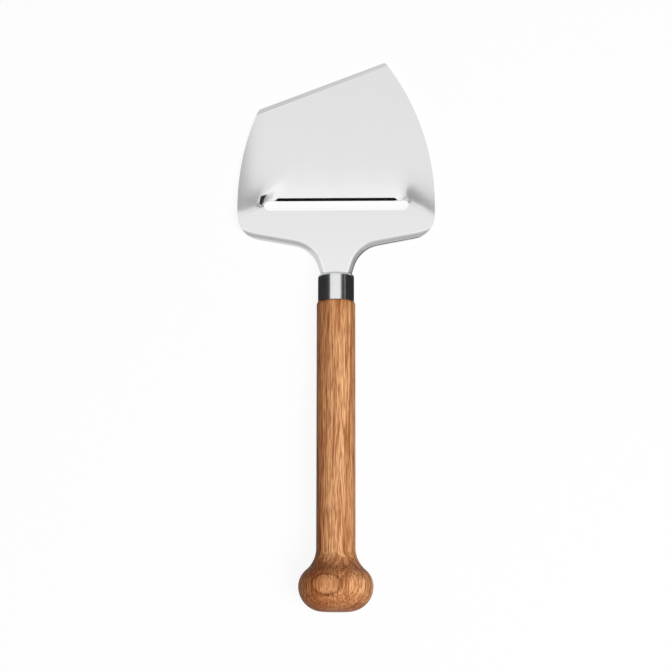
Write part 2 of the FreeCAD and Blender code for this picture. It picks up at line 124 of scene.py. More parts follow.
class OakColours(bpy.types.PropertyGroup):
    """Colours of the oak, a painted shade on its left side, and how its yearly layers lie in the handle."""

    late: colour("Late wood", "Dense wood at the end of a year", (0.340, 0.130, 0.046))
    middle: colour("Middle wood", "Wood of the middle of a year", (0.745, 0.368, 0.162))
    early: colour("Early wood", "Light wood at the start of a year", (0.910, 0.505, 0.250))
    pore: colour("Pores", "The open pores", (0.210, 0.068, 0.022))
    # Painted shade: a darker, redder tint laid on the handle's left side, away from the key lamp.
    painted_shade_tint: colour("Painted side shade", "The tint of the left side, as painted shade that darkens and reddens it", (0.84, 0.66, 0.54))
    tilt: angle_in_degrees("Ring tilt", "Turn of the layers of wood about the handle's axis", -15)
    pith: size_in_mm("Pith", "From the handle's axis down to the heart of the tree", 90.0)
    rise: FloatProperty(
        name="Rise", description="How fast the layers sink from the knob to the ferrule", default=0.031,
    )


class SteelColours(bpy.types.PropertyGroup):
    """Colours and finishes of the two steels, and where the blade's tip is ground."""

    blade: colour("Blade", "Brushed stainless steel", (0.65, 0.65, 0.655))
    ferrule: colour("Ferrule", "Polished stainless steel", (0.60, 0.605, 0.615))
    blade_roughness: share("Blade roughness", "Mean roughness of the brushed steel", 0.21)
    tip: size_in_mm("Tip", "From the seat to the middle of the blade's end", 87.5)
    tip_slant: angle_in_degrees("Tip slant", "How far the blade's end leans", 20.9)
    ferrule_roughness: share("Ferrule roughness", "Mean roughness of the polished steel", 0.17)


class StageSizes(bpy.types.PropertyGroup):
    """The camera and the floor."""

    camera_distance: size_in_mm("Camera distance", "From the camera to the middle of the picture", 855.0)
    camera_pitch: angle_in_degrees("Camera pitch", "How far the camera leans from straight above", 7.25)
    camera_angle: angle_in_degrees("View angle", "How wide the camera sees", 19.04)
    aim: FloatVectorProperty(
        name="Aim", description="The point in the middle of the picture",
        default=(-0.00005, -0.00244, 0.00926), size=3, subtype="TRANSLATION", unit="LENGTH",
    )
    floor_size: size_in_mm("Floor", "Side of the square floor", 12000.0)
    floor: colour("Floor colour", "The pale floor", (0.90, 0.90, 0.90))
    bounce: colour("Floor bounce", "The light that the floor throws back on the tool", (0.30, 0.30, 0.30))


# ------------------------------------------------------------------ the tool's own axes

def tool_turn():
    """The turn from the tool's own axes, its handle along Y, to its place on the table."""
    sole = next(m for m in frame["record"]["mounts"] if m["name"] == "sole")
    return Vector((0, 0, 1)).rotation_difference(-Vector(sole["axis"])).to_matrix()


TURN = tool_turn()


def middle_of(low, high):
    return (Vector(low) + Vector(high)) / 2


def mesh_box(mesh):
    """The lowest and the highest corner of a mesh's box."""
    points = [vertex.co for vertex in mesh.vertices]
    low = Vector(min(point[i] for point in points) for i in range(3))
    high = Vector(max(point[i] for point in points) for i in range(3))
    return low, high


# ------------------------------------------------------------------ node trees

def add_node(tree, kind, inputs=None, **settings):
    """A new node with its settings, and its inputs linked to sockets or set to values."""
    node = tree.nodes.new(kind)
    for name, value in settings.items():
        setattr(node, name, value)
    for key, value in (inputs or {}).items():
        socket = node.inputs[key]
        if isinstance(value, bpy.types.NodeSocket):
            tree.links.new(value, socket)
        else:
            socket.default_value = value
    return node


def add_math(tree, operation, *values):
    return add_node(tree, "ShaderNodeMath", dict(enumerate(values)), operation=operation).outputs[0]


def add_range(tree, value, start, stop, low=0.0, high=1.0):
    """Runs from low to high while the value runs from start to stop, and stays there outside."""
    return add_node(
        tree, "ShaderNodeMapRange",
        {"Value": value, "From Min": start, "From Max": stop, "To Min": low, "To Max": high},
    ).outputs[0]


def add_bump(tree, height, strength, distance):
    """A bumped normal; the distance is in metres."""
    return add_node(
        tree, "ShaderNodeBump", {"Height": height, "Strength": strength, "Distance": distance},
    ).outputs[0]


def add_ramp(tree, factor, stops):
    """A colour ramp; stops are (place, grey or colour) pairs in order."""
    node = add_node(tree, "ShaderNodeValToRGB", {"Fac": factor})
    ramp = node.color_ramp
    while len(ramp.elements) < len(stops):
        ramp.elements.new(1.0)
    for element, (place, value) in zip(ramp.elements, stops):
        element.position = place
        rgb = (value,) * 3 if isinstance(value, (int, float)) else tuple(value)
        element.color = (*rgb, 1.0)
    return node.outputs["Color"]


def add_mix(tree, factor, a, b, blend="MIX"):
    """Mixes colour a towards colour b; each is a socket or three numbers."""
    node = add_node(tree, "ShaderNodeMix", data_type="RGBA", blend_type=blend)
    for socket, value in ((node.inputs[0], factor), (node.inputs[6], a), (node.inputs[7], b)):
        if isinstance(value, bpy.types.NodeSocket):
            tree.links.new(value, socket)
        elif socket.type == "RGBA":
            socket.default_value = (*value, 1.0)
        else:
            socket.default_value = value
    return node.outputs[2]


def add_tint(tree, base, tint):
    """A colour multiplied by a tint."""
    return add_mix(tree, 1.0, base, tint, blend="MULTIPLY")


def tool_space(tree, seat):
    """Object coordinates in millimetres along the tool's own axes, counted from its seat."""
    place = add_node(tree, "ShaderNodeTexCoord").outputs["Object"]
    mapping = add_node(tree, "ShaderNodeMapping", {"Vector": place}, vector_type="TEXTURE")
    mapping.inputs["Location"].default_value = seat
    mapping.inputs["Rotation"].default_value = TURN.to_euler()
    mapping.inputs["Scale"].default_value = (MM, MM, MM)
    return mapping.outputs[0]


def stretched(tree, space, scale):
    """Coordinates scaled along each axis: a small number draws a pattern out."""
    return add_node(tree, "ShaderNodeVectorMath", {0: space, 1: scale}, operation="MULTIPLY").outputs[0]


def add_noise(tree, space, scale, detail=2.0, roughness=0.5):
    """Soft noise about 0.5; the scale is in patches per millimetre along each axis."""
    return add_node(
        tree, "ShaderNodeTexNoise",
        {"Vector": stretched(tree, space, scale), "Scale": 1.0, "Detail": detail, "Roughness": roughness},
    ).outputs["Fac"]


def new_material(name):
    """An empty material with its surface shader joined to its output."""
    material = bpy.data.materials.new(name)
    material.use_nodes = True
    tree = material.node_tree
    tree.nodes.clear()
    surface = add_node(tree, "ShaderNodeBsdfPrincipled")
    add_node(tree, "ShaderNodeOutputMaterial", {"Surface": surface.outputs[0]})
    return material, tree, surface


# ------------------------------------------------------------------ finishes

def join_finish(tree, surface, base, roughness, normal):
    """Links a finish to its surface shader."""
    tree.links.new(base, surface.inputs["Base Color"])
    tree.links.new(roughness, surface.inputs["Roughness"])
    tree.links.new(normal, surface.inputs["Normal"])


def add_ground_tip_and_crease_shade(tree, space, base):
    """The tip's ground bevel: a painted shade line along the crease where it starts, then a duller ground
    face, both fainter at the right.
    """
    looks = bpy.context.scene.plane_steel
    axes = add_node(tree, "ShaderNodeSeparateXYZ", {"Vector": space}).outputs
    past_tip = add_math(tree, "SUBTRACT", axes[1], looks.tip / MM)
    from_edge = add_math(
        tree, "ADD",
        add_math(tree, "MULTIPLY", axes[0], -math.sin(looks.tip_slant)),
        add_math(tree, "MULTIPLY", past_tip, math.cos(looks.tip_slant)),
    )
    reach = add_range(tree, from_edge, -3.0, 0.0)
    # Painted shade: the darkest stop is a shade line along the crease between plate and bevel; the stop after
    # it is the ground face's own duller tone.
    ground = add_ramp(tree, reach, [(0.28, 1.0), (0.38, 0.72), (0.48, 0.90)])
    leftwards = add_range(tree, axes[0], -30.0, 16.0, 1.0, 0.5)
    return add_mix(tree, leftwards, base, add_tint(tree, base, ground))


def brushed_steel(seat):
    """Sheet steel, brushed along the tool."""
    looks = bpy.context.scene.plane_steel
    material, tree, surface = new_material("blade_brushed_steel")
    space = tool_space(tree, seat)
    fine = add_noise(tree, space, (6.0, 0.05, 1.0), detail=3.0, roughness=0.6)
    broad = add_noise(tree, space, (0.7, 0.02, 0.2), detail=2.0)
    smudge = add_noise(tree, space, (0.05, 0.04, 0.05), detail=3.0)
    brushing = add_math(
        tree, "ADD", add_math(tree, "MULTIPLY", fine, 0.6), add_math(tree, "MULTIPLY", broad, 0.4),
    )
    tone = add_ramp(tree, brushing, [(0.3, 0.965), (0.7, 1.0)])
    base = add_ground_tip_and_crease_shade(tree, space, add_tint(tree, looks.blade, tone))
    wear = add_math(tree, "ADD", brushing, add_math(tree, "MULTIPLY", smudge, 0.35))
    low = looks.blade_roughness - 0.03
    roughness = add_range(tree, wear, 0.35, 0.95, low, low + 0.06)
    join_finish(tree, surface, base, roughness, add_bump(tree, fine, 0.04, 0.02 * MM))
    surface.inputs["Metallic"].default_value = 1.0
    return material


def polished_steel(seat):
    """Drawn steel, polished round its axis."""
    looks = bpy.context.scene.plane_steel
    material, tree, surface = new_material("ferrule_polished_steel")
    space = tool_space(tree, seat)
    rings = add_noise(tree, space, (0.03, 5.0, 0.03), detail=3.0, roughness=0.6)
    smudge = add_noise(tree, space, (0.25, 0.2, 0.25), detail=3.0)
    tone = add_ramp(tree, rings, [(0.3, 0.94), (0.7, 1.0)])
    low = looks.ferrule_roughness - 0.03
    roughness = add_range(tree, add_math(tree, "ADD", rings, smudge), 0.7, 1.3, low, low + 0.08)
    base = add_tint(tree, looks.ferrule, tone)
    join_finish(tree, surface, base, roughness, add_bump(tree, rings, 0.08, 0.02 * MM))
    surface.inputs["Metallic"].default_value = 1.0
    return material


# The layers are counted in millimetres up and down from the one through the handle's axis.
RING_SPAN = 20.0
# Each year's upper border, how strongly its end darkens, and the share of the year in which that fades.
YEARS = (
    (18.6, 1.0, 0.40), (14.7, 0.95, 0.06), (7.3, 0.45, 0.40), (3.4, 0.4, 0.40), (-0.4, 0.6, 0.40),
    (-4.2, 0.5, 0.40), (-7.6, 0.6, 0.40), (-11.0, 0.7, 0.40), (-14.4, 0.5, 0.40),
)
# Dark wood ends this far below a border between years, and light wood starts this far above it.
DARK_BELOW = 0.10
LIGHT_ABOVE = 0.25
# How far the layers wander along the handle, and how far they ripple over short distances.
WANDER = 2.0
RIPPLE = 0.4
# Across the handle, where the painted shade on the left side is full and where it has faded.
PAINTED_SHADE_SPAN = (-7.0, -1.5)
# Streaks along the grain: scale and tint, broad ones first.
STREAKS = (
    ((1.0, 0.035, 1.0), (0.60, 0.44, 0.33)),
    ((2.1, 0.110, 2.1), (0.52, 0.38, 0.28)),
)
STREAK_DEPTH = 0.9


def between(a, b, amount):
    """The numbers on the way from a to b."""
    return [x + (y - x) * amount for x, y in zip(a, b)]


def year_stops(late, middle, early):
    """Colours from the lowest layer of wood to the highest; each year ends dark, some darker than others."""
    def place(height):
        return (height + RING_SPAN) / (2 * RING_SPAN)

    stops = []
    for (upper, dark, dark_share), (lower, _, _) in zip(YEARS, YEARS[1:]):
        stops.append((place(upper - DARK_BELOW), between(middle, late, dark)))
        stops.append((place(upper - dark_share * (upper - lower)), middle))
        stops.append((place(lower + LIGHT_ABOVE), between(middle, early, dark)))
    return stops[::-1]


def add_layer_level(tree, space):
    """The place among the layers of wood, from 0 at the lowest to 1 at the highest."""
    oak = bpy.context.scene.plane_oak
    knob_centre = bpy.context.scene.plane_handle.knob_centre
    axes = add_node(tree, "ShaderNodeSeparateXYZ", {"Vector": space}).outputs
    sideways = add_math(tree, "SUBTRACT", axes[0], -math.sin(oak.tilt) * oak.pith / MM)
    up = add_math(tree, "SUBTRACT", axes[2], -math.cos(oak.tilt) * oak.pith / MM)
    squares = [add_math(tree, "MULTIPLY", offset, offset) for offset in (sideways, up)]
    reach = add_math(tree, "SQRT", add_math(tree, "ADD", *squares))
    wander = add_math(tree, "SUBTRACT", add_noise(tree, space, (0.06, 0.012, 0.06)), 0.5)
    ripple = add_math(tree, "SUBTRACT", add_noise(tree, space, (0.8, 0.08, 0.8)), 0.5)
    height = add_math(tree, "SUBTRACT", reach, oak.pith / MM)
    from_knob = add_math(tree, "ADD", axes[1], knob_centre / MM)
    height = add_math(tree, "MULTIPLY_ADD", from_knob, oak.rise, height)
    height = add_math(tree, "MULTIPLY_ADD", wander, WANDER, height)
    height = add_math(tree, "MULTIPLY_ADD", ripple, RIPPLE, height)
    return add_range(tree, height, -RING_SPAN, RING_SPAN)


def add_painted_side_shade(tree, space, wood):
    """Paints shade on the left side of the handle: a darker, redder tint that fades out just left of the
    middle.
    """
    axes = add_node(tree, "ShaderNodeSeparateXYZ", {"Vector": space}).outputs
    rightwards = add_range(tree, axes[0], *PAINTED_SHADE_SPAN)
    tint = bpy.context.scene.plane_oak.painted_shade_tint
    return add_tint(tree, wood, add_ramp(tree, rightwards, [(0.0, tint), (1.0, 1.0)]))


def add_streaks(tree, space, scale, tint):
    """Soft dark streaks along the grain, as a colour to multiply by."""
    streak = add_noise(tree, space, scale, detail=1.5, roughness=0.6)
    amount = add_ramp(tree, streak, [(0.36, 1.0), (0.46, 0.45), (0.54, 0.0)])
    return add_mix(tree, add_math(tree, "MULTIPLY", amount, STREAK_DEPTH), (1.0, 1.0, 1.0), tint)


def add_end_grain(tree, wood):
    """Darkens the wood where its surface cuts across the grain and has drunk more oil."""
    facing = add_node(
        tree, "ShaderNodeVectorMath",
        {0: add_node(tree, "ShaderNodeTexCoord").outputs["Normal"], 1: TURN.col[1]},
        operation="DOT_PRODUCT",
    ).outputs["Value"]
    thirst = add_math(tree, "ABSOLUTE", facing)
    return add_tint(tree, wood, add_ramp(tree, thirst, [(0.20, 1.0), (0.85, (0.66, 0.54, 0.46))]))


def add_pores(tree, space, scale, width, strength):
    """The strength in the open pores, which are long and thin, and 0 between them."""
    gap = add_node(
        tree, "ShaderNodeTexVoronoi",
        {"Vector": stretched(tree, space, scale), "Scale": 1.0, "Randomness": 1.0},
    ).outputs["Distance"]
    return add_ramp(tree, gap, [(0.5 * width, strength), (1.3 * width, 0.0)])


def oiled_oak(seat):
    """Oak with its layers, streaks and pores running through the whole solid, oiled."""
    oak = bpy.context.scene.plane_oak
    material, tree, surface = new_material("handle_oiled_oak")
    space = tool_space(tree, seat)
    level = add_layer_level(tree, space)
    wood = add_ramp(tree, level, year_stops(oak.late, oak.middle, oak.early))
    bands = add_noise(tree, space, (0.30, 0.008, 0.30), detail=3.0)
    band_tone = add_ramp(tree, bands, [(0.36, (0.86, 0.80, 0.76)), (0.62, (1.06, 1.07, 1.08))])
    # Painted shade: the left side is tinted darker and redder.
    wood = add_painted_side_shade(tree, space, add_tint(tree, wood, band_tone))
    for scale, tint in STREAKS:
        wood = add_tint(tree, wood, add_streaks(tree, space, scale, tint))
    wood = add_end_grain(tree, wood)

    porous = add_ramp(tree, level, year_stops((1.0,) * 3, (0.55,) * 3, (0.35,) * 3))
    long_pores = add_pores(tree, space, (1.25, 0.130, 1.25), 0.28, 1.0)
    fine_pores = add_pores(tree, space, (2.4, 0.160, 2.4), 0.26, 0.7)
    pore = add_math(tree, "MAXIMUM", add_math(tree, "MULTIPLY", long_pores, porous), fine_pores)
    wood = add_mix(tree, add_math(tree, "MULTIPLY", pore, 0.8), wood, oak.pore)

    fibre = add_noise(tree, space, (3.0, 0.06, 3.0), detail=4.0, roughness=0.65)
    roughness = add_range(tree, add_math(tree, "ADD", fibre, pore), 0.2, 1.2, 0.44, 0.64)
    relief = add_math(tree, "SUBTRACT", add_math(tree, "MULTIPLY", fibre, 0.4), pore)
    join_finish(tree, surface, wood, roughness, add_bump(tree, relief, 0.5, 0.06 * MM))
    surface.inputs["IOR"].default_value = 1.45
    surface.inputs["Specular IOR Level"].default_value = 0.1
    return material


def cured_epoxy(seat):
    """The amber adhesive in the bore, with a few trapped bubbles."""
    material, tree, surface = new_material("bore_epoxy")
    space = tool_space(tree, seat)
    cloud = add_noise(tree, space, (0.3, 0.3, 0.3), detail=3.0)
    bubbles = add_node(
        tree, "ShaderNodeTexVoronoi", {"Vector": stretched(tree, space, (1.2, 1.2, 1.2)), "Scale": 1.0},
    ).outputs["Distance"]
    base = add_ramp(tree, cloud, [(0.3, (0.45, 0.27, 0.09)), (0.7, (0.62, 0.42, 0.18))])
    tree.links.new(base, surface.inputs["Base Color"])
    tree.links.new(add_bump(tree, bubbles, 0.3, 0.1 * MM), surface.inputs["Normal"])
    surface.inputs["Roughness"].default_value = 0.18
    return material


# ------------------------------------------------------------------ turned pieces

def arc_points(centre, radius, start, stop, step=math.radians(3)):
    """Points on an arc of a half profile; angles count from the radius towards the knob."""
    count = max(2, math.ceil(abs(stop - start) / step))
    return [
        (centre[0] + radius * math.cos(start + (stop - start) * i / count),
         centre[1] + radius * math.sin(start + (stop - start) * i / count))
        for i in range(count + 1)
    ]


def run_points(start, stop, step):
    """Points on a straight run, without its two ends."""
    reach = math.dist(start, stop)
    count = max(1, math.ceil(reach / step))
    return [
        (start[0] + (stop[0] - start[0]) * i / count, start[1] + (stop[1] - start[1]) * i / count)
        for i in range(1, count)
    ]


DRILL_HALF_ANGLE = math.radians(59)
SHARP_EDGE = math.radians(35)


def handle_profile(sizes, ferrule):
    """Half profile of the handle: (radius, distance from the seat) in metres, from axis to axis."""
    shaft = sizes.shaft_diameter / 2
    bore = sizes.bore_diameter / 2
    knob = sizes.knob_diameter / 2
    ferrule_radius = ferrule.diameter / 2
    drill_point = bore / math.tan(DRILL_HALF_ANGLE)
    shaft_start = ferrule.length + sizes.shaft_rounding

    inside = [
        (0, sizes.bore_depth + drill_point),
        (bore, sizes.bore_depth),
        (bore, sizes.tenon_end),
        (sizes.tenon_diameter / 2, sizes.tenon_end),
        (sizes.tenon_diameter / 2, ferrule.length),
    ]
    step = shaft - ferrule_radius
    rounding = (step ** 2 + sizes.shaft_rounding ** 2) / (2 * step)
    turn = math.asin(sizes.shaft_rounding / rounding)
    shoulder = arc_points((shaft - rounding, shaft_start), rounding, -turn, 0, math.radians(8))

    upper = (knob - sizes.knob_upper_radius, sizes.knob_centre)
    lower = (knob - sizes.knob_lower_radius, sizes.knob_centre)
    flare_x = shaft + sizes.flare_radius
    flare_reach = sizes.flare_radius + sizes.knob_upper_radius
    flare_length = math.sqrt(flare_reach ** 2 - (flare_x - upper[0]) ** 2)
    flare_centre = (flare_x, sizes.knob_centre - flare_length)
    lean = math.atan2(flare_length, flare_x - upper[0])
    flare = arc_points(flare_centre, sizes.flare_radius, math.pi, math.pi - lean)
    top = arc_points(upper, sizes.knob_upper_radius, -lean, 0)
    bottom = arc_points(lower, sizes.knob_lower_radius, 0, math.pi / 2)
    end = (0, bottom[-1][1])

    shaft_run = run_points(shoulder[-1], flare[0], 1.0 * MM)
    end_run = run_points(bottom[-1], end, 0.8 * MM)
    return inside + shoulder + shaft_run + flare + top[1:] + bottom[1:] + end_run + [end]


def ferrule_profile(sizes):
    """Closed half profile of the ferrule's cap, from axis to axis."""
    radius = sizes.diameter / 2
    inner = radius - sizes.wall
    rim = arc_points(
        (radius - sizes.rim_radius, sizes.rim_radius), sizes.rim_radius,
        -math.pi / 2, 0, math.radians(6),
    )
    wall = run_points((radius, sizes.rim_radius), (radius, sizes.length - sizes.edge_break), 0.5 * MM)
    return [
        (0, 0), *rim, *wall,
        (radius, sizes.length - sizes.edge_break),
        (radius - sizes.edge_break, sizes.length),
        (inner, sizes.length), (inner, sizes.end), (0, sizes.end),
    ]


def add_input(tree, name, kind, default=None):
    """A named input of a node group."""
    socket = tree.interface.new_socket(name, in_out="INPUT", socket_type=kind)
    if default is not None:
        socket.default_value = default
    return socket


# How close the raised grain is, across and along, and the noise value that reaches the turned surface.
GRAIN_PER_METRE = (900.0, 60.0, 900.0)
HIGHEST_GRAIN = 0.85


def turning_tree():
    """Geometry nodes that turn a half profile round the handle's axis."""
    tree = bpy.data.node_groups.new("turned_round_the_axis", "GeometryNodeTree")
    add_input(tree, "Profile", "NodeSocketGeometry")
    add_input(tree, "Sides", "NodeSocketInt", 64)
    add_input(tree, "Grain relief", "NodeSocketFloat", 0.0)
    add_input(tree, "Relief start", "NodeSocketFloat", 0.0)
    add_input(tree, "Slit", "NodeSocketVector")
    add_input(tree, "Cut slit", "NodeSocketBool", False)
    add_input(tree, "Finish", "NodeSocketMaterial")
    tree.interface.new_socket("Piece", in_out="OUTPUT", socket_type="NodeSocketGeometry")
    given = add_node(tree, "NodeGroupInput").outputs
    profile = given["Profile"]

    columns = add_math(tree, "ADD", given["Sides"], 1.0)
    count = add_node(tree, "GeometryNodeAttributeDomainSize", {"Geometry": profile}, component="MESH")
    grid = add_node(
        tree, "GeometryNodeMeshGrid",
        {"Vertices X": count.outputs["Point Count"], "Vertices Y": columns},
    )
    index = add_node(tree, "GeometryNodeInputIndex").outputs[0]
    row = add_math(tree, "FLOOR", add_math(tree, "DIVIDE", add_math(tree, "ADD", index, 0.5), columns))
    column = add_math(tree, "SUBTRACT", index, add_math(tree, "MULTIPLY", row, columns))
    turn = add_math(tree, "MULTIPLY", add_math(tree, "DIVIDE", column, given["Sides"]), math.tau)
    position = add_node(tree, "GeometryNodeInputPosition").outputs[0]
    sample = add_node(tree, "GeometryNodeSampleIndex", data_type="FLOAT_VECTOR", domain="POINT")
    tree.links.new(profile, sample.inputs["Geometry"])
    tree.links.new(position, sample.inputs["Value"])
    tree.links.new(row, sample.inputs["Index"])
    point = add_node(tree, "ShaderNodeSeparateXYZ", {"Vector": sample.outputs[0]}).outputs
    turned = add_node(
        tree, "ShaderNodeCombineXYZ",
        {"X": add_math(tree, "MULTIPLY", point[0], add_math(tree, "SINE", turn)),
         "Y": add_math(tree, "MULTIPLY", point[1], -1.0),
         "Z": add_math(tree, "MULTIPLY", point[0], add_math(tree, "COSINE", turn))},
    ).outputs[0]
    shaped = add_node(tree, "GeometryNodeSetPosition", {"Geometry": grid.outputs["Mesh"], "Position": turned})
    closed = add_node(
        tree, "GeometryNodeMergeByDistance", {"Geometry": shaped.outputs[0], "Distance": 1e-6},
    )

    # The raised grain lies below the turned surface, so that the handle keeps within its size.
    lengthwise = add_node(tree, "ShaderNodeSeparateXYZ", {"Vector": position}).outputs[1]
    outside = add_math(tree, "LESS_THAN", lengthwise, add_math(tree, "MULTIPLY", given["Relief start"], -1.0))
    grain = add_node(
        tree, "ShaderNodeTexNoise",
        {"Vector": stretched(tree, position, GRAIN_PER_METRE), "Scale": 1.0, "Detail": 1.0},
    ).outputs["Fac"]
    lift = add_math(tree, "MULTIPLY", add_math(tree, "SUBTRACT", grain, HIGHEST_GRAIN), given["Grain relief"])
    normal = add_node(tree, "GeometryNodeInputNormal").outputs[0]
    offset = add_node(
        tree, "ShaderNodeVectorMath", {0: normal, "Scale": lift}, operation="SCALE",
    ).outputs[0]
    raised = add_node(
        tree, "GeometryNodeSetPosition",
        {"Geometry": closed.outputs[0], "Selection": outside, "Offset": offset},
    )

    cutter = add_node(tree, "GeometryNodeMeshCube", {"Size": given["Slit"]})
    cut = add_node(tree, "GeometryNodeMeshBoolean", operation="DIFFERENCE", solver="EXACT")
    tree.links.new(raised.outputs[0], cut.inputs["Mesh 1"])
    tree.links.new(cutter.outputs["Mesh"], cut.inputs["Mesh 2"])
    choice = add_node(
        tree, "GeometryNodeSwitch",
        {"Switch": given["Cut slit"], "False": raised.outputs[0], "True": cut.outputs[0]},
        input_type="GEOMETRY",
    )
    real = add_node(tree, "GeometryNodeRealizeInstances", {"Geometry": choice.outputs[0]})
    finished = add_node(
        tree, "GeometryNodeSetMaterial", {"Geometry": real.outputs[0], "Material": given["Finish"]},
    )
    add_node(tree, "NodeGroupOutput", {"Piece": finished.outputs[0]})
    return tree


def turned_mesh(name, profile, material, **inputs):
    """The mesh that the turning tree makes of a half profile, along the tool's own axes."""
    drawn = bpy.data.meshes.new(name + "_profile")
    drawn.from_pydata([(r, y, 0) for r, y in profile], [(i, i + 1) for i in range(len(profile) - 1)], [])
    holder = bpy.data.objects.new(name + "_profile", drawn)
    bpy.context.scene.collection.objects.link(holder)
    tree = bpy.data.node_groups.get("turned_round_the_axis") or turning_tree()
    modifier = holder.modifiers.new("turning", "NODES")
    modifier.node_group = tree
    identifiers = {
        item.name: item.identifier for item in tree.interface.items_tree if item.in_out == "INPUT"
    }
    modifier[identifiers["Finish"]] = material
    for key, value in inputs.items():
        modifier[identifiers[key.replace("_", " ").capitalize()]] = value
    evaluated = holder.evaluated_get(bpy.context.evaluated_depsgraph_get())
    mesh = bpy.data.meshes.new_from_object(evaluated)
    bpy.data.objects.remove(holder)
    mesh.name = name
    mesh.transform(TURN.to_4x4())
    mesh.set_sharp_from_angle(angle=SHARP_EDGE)
    return mesh


def seat_point():
    """The middle of the joint between blade and ferrule, found by laying a bare handle in its CAD box."""
    scene = bpy.context.scene
    if "plane_seat" not in scene:
        bare = turned_mesh("bare", handle_profile(scene.plane_handle, scene.plane_ferrule), None, sides=128)
        scene["plane_seat"] = middle_of(*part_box("handle")) - middle_of(*mesh_box(bare))
        bpy.data.meshes.remove(bare)
    return Vector(scene["plane_seat"])


def add_piece(name, mesh, node):
    """Puts a turned mesh in its place as a piece that stands for a CAD node."""
    mesh.transform(Matrix.Translation(seat_point()))
    piece = bpy.data.objects.new(name, mesh)
    bpy.context.scene.collection.objects.link(piece)
    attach(piece, BODY)
    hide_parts(node)
    return piece


def dress(node, material):
    """Gives a CAD node that stays its material."""
    mesh = frame["nodes"][node].data
    mesh.materials.clear()
    mesh.materials.append(material)


# ------------------------------------------------------------------ operators

class PLANE_OT_blade(bpy.types.Operator):
    """Finish the blade in brushed steel"""

    bl_idname = "plane.blade"
    bl_label = "Blade"

    def execute(self, context):
        dress("blade", brushed_steel(seat_point()))
        return {"FINISHED"}


class PLANE_OT_ferrule(bpy.types.Operator):
    """Turn the ferrule and polish it"""

    bl_idname = "plane.ferrule"
    bl_label = "Ferrule"

    def execute(self, context):
        sizes = context.scene.plane_ferrule
        slit = (sizes.slit_width, 4 * sizes.end, sizes.slit_height)
        mesh = turned_mesh(
            "ferrule_cap", ferrule_profile(sizes), polished_steel(seat_point()),
            sides=sizes.sides, slit=slit, cut_slit=True,
        )
        add_piece("ferrule_cap", mesh, "ferrule")
        return {"FINISHED"}


class PLANE_OT_handle(bpy.types.Operator):
    """Turn the oak handle, with its grain raised by oiling"""

    bl_idname = "plane.handle"
    bl_label = "Handle"

    def execute(self, context):
        sizes = context.scene.plane_handle
        ferrule = context.scene.plane_ferrule
        mesh = turned_mesh(
            "oak_handle", handle_profile(sizes, ferrule), oiled_oak(seat_point()),
            sides=sizes.sides, grain_relief=sizes.grain_relief,
            relief_start=ferrule.length + sizes.shaft_rounding / 2,
        )
        add_piece("oak_handle", mesh, "handle")
        return {"FINISHED"}


class PLANE_OT_adhesive(bpy.types.Operator):
    """Finish the adhesive in the handle's bore"""

    bl_idname = "plane.adhesive"
    bl_label = "Adhesive"

    def execute(self, context):
        dress("tang_adhesive", cured_epoxy(seat_point()))
        return {"FINISHED"}


# ------------------------------------------------------------------ stage, in metres

# How much of the floor's own look is replaced by plain white where it is seen directly.
FLOOR_WHITE = 0.92
# The sky's strength as light on the tool; seen directly it is white.
SKY_LIGHT = 0.1

# Parts of the sleeve round the ferrule: name, tone, and the angles where each part starts and stops.
SLEEVE_PARTS = (
    ("left_edge", 0.18, -24.3, -31.0),
    ("left", 0.045, -31.0, -130.0),
    ("right_edge", 0.45, 21.3, 27.5),
    ("right_upper", 0.08, 27.5, 40.6),
    ("right", 0.045, 43.4, 130.0),
)
SLEEVE_RADIUS = 12.0 * MM
# Along the tool, from beside the ferrule's open end to just past its closed end.
SLEEVE_ENDS = (-12.5 * MM, 0.4 * MM)
SLEEVE_STEP = 12


def seen_directly(tree):
    """1 for the camera's rays and for what metal and glass show, 0 for light on the object."""
    rays = add_node(tree, "ShaderNodeLightPath").outputs
    seen = add_math(tree, "MAXIMUM", rays["Is Camera Ray"], rays["Is Glossy Ray"])
    return add_math(tree, "MAXIMUM", seen, rays["Is Transmission Ray"])


def pale_floor(stage):
    """A matt floor that is seen nearly white and keeps the tool's shadow."""
    material, tree, surface = new_material("pale_floor")
    seen = seen_directly(tree)
    tree.links.new(add_mix(tree, seen, stage.bounce, stage.floor), surface.inputs["Base Color"])
    surface.inputs["Roughness"].default_value = 0.9
    surface.inputs["Specular IOR Level"].default_value = 0.0
    white = add_node(tree, "ShaderNodeEmission", {"Color": (1, 1, 1, 1), "Strength": 1.0})
    amount = add_math(tree, "MULTIPLY", seen, FLOOR_WHITE)
    mixed = add_node(tree, "ShaderNodeMixShader", {0: amount, 1: surface.outputs[0], 2: white.outputs[0]})
    output = next(n for n in tree.nodes if n.type == "OUTPUT_MATERIAL")
    tree.links.new(mixed.outputs[0], output.inputs["Surface"])
    return material


def card(tone):
    """The finish of a card that shows one even tone in reflections."""
    material = bpy.data.materials.new("card_%02d" % round(100 * tone))
    material.use_nodes = True
    tree = material.node_tree
    tree.nodes.clear()
    glow = add_node(tree, "ShaderNodeEmission", {"Color": (1, 1, 1, 1), "Strength": tone})
    add_node(tree, "ShaderNodeOutputMaterial", {"Surface": glow.outputs[0]})
    return material


def add_board(name, corners, material, faces=((0, 1, 2, 3),)):
    """A board, flat through four corners where it has one face, as part of the stage."""
    mesh = bpy.data.meshes.new(name)
    mesh.from_pydata(corners, [], faces)
    mesh.materials.append(material)
    board = bpy.data.objects.new(name, mesh)
    bpy.context.scene.collection.objects.link(board)
    return board


def add_card(name, tone, corners, faces=((0, 1, 2, 3),)):
    """A board of one tone that only reflections show."""
    board = add_board(name, corners, card(tone), faces)
    board.visible_camera = False
    board.visible_diffuse = False
    board.visible_shadow = False
    board.visible_transmission = False
    return board


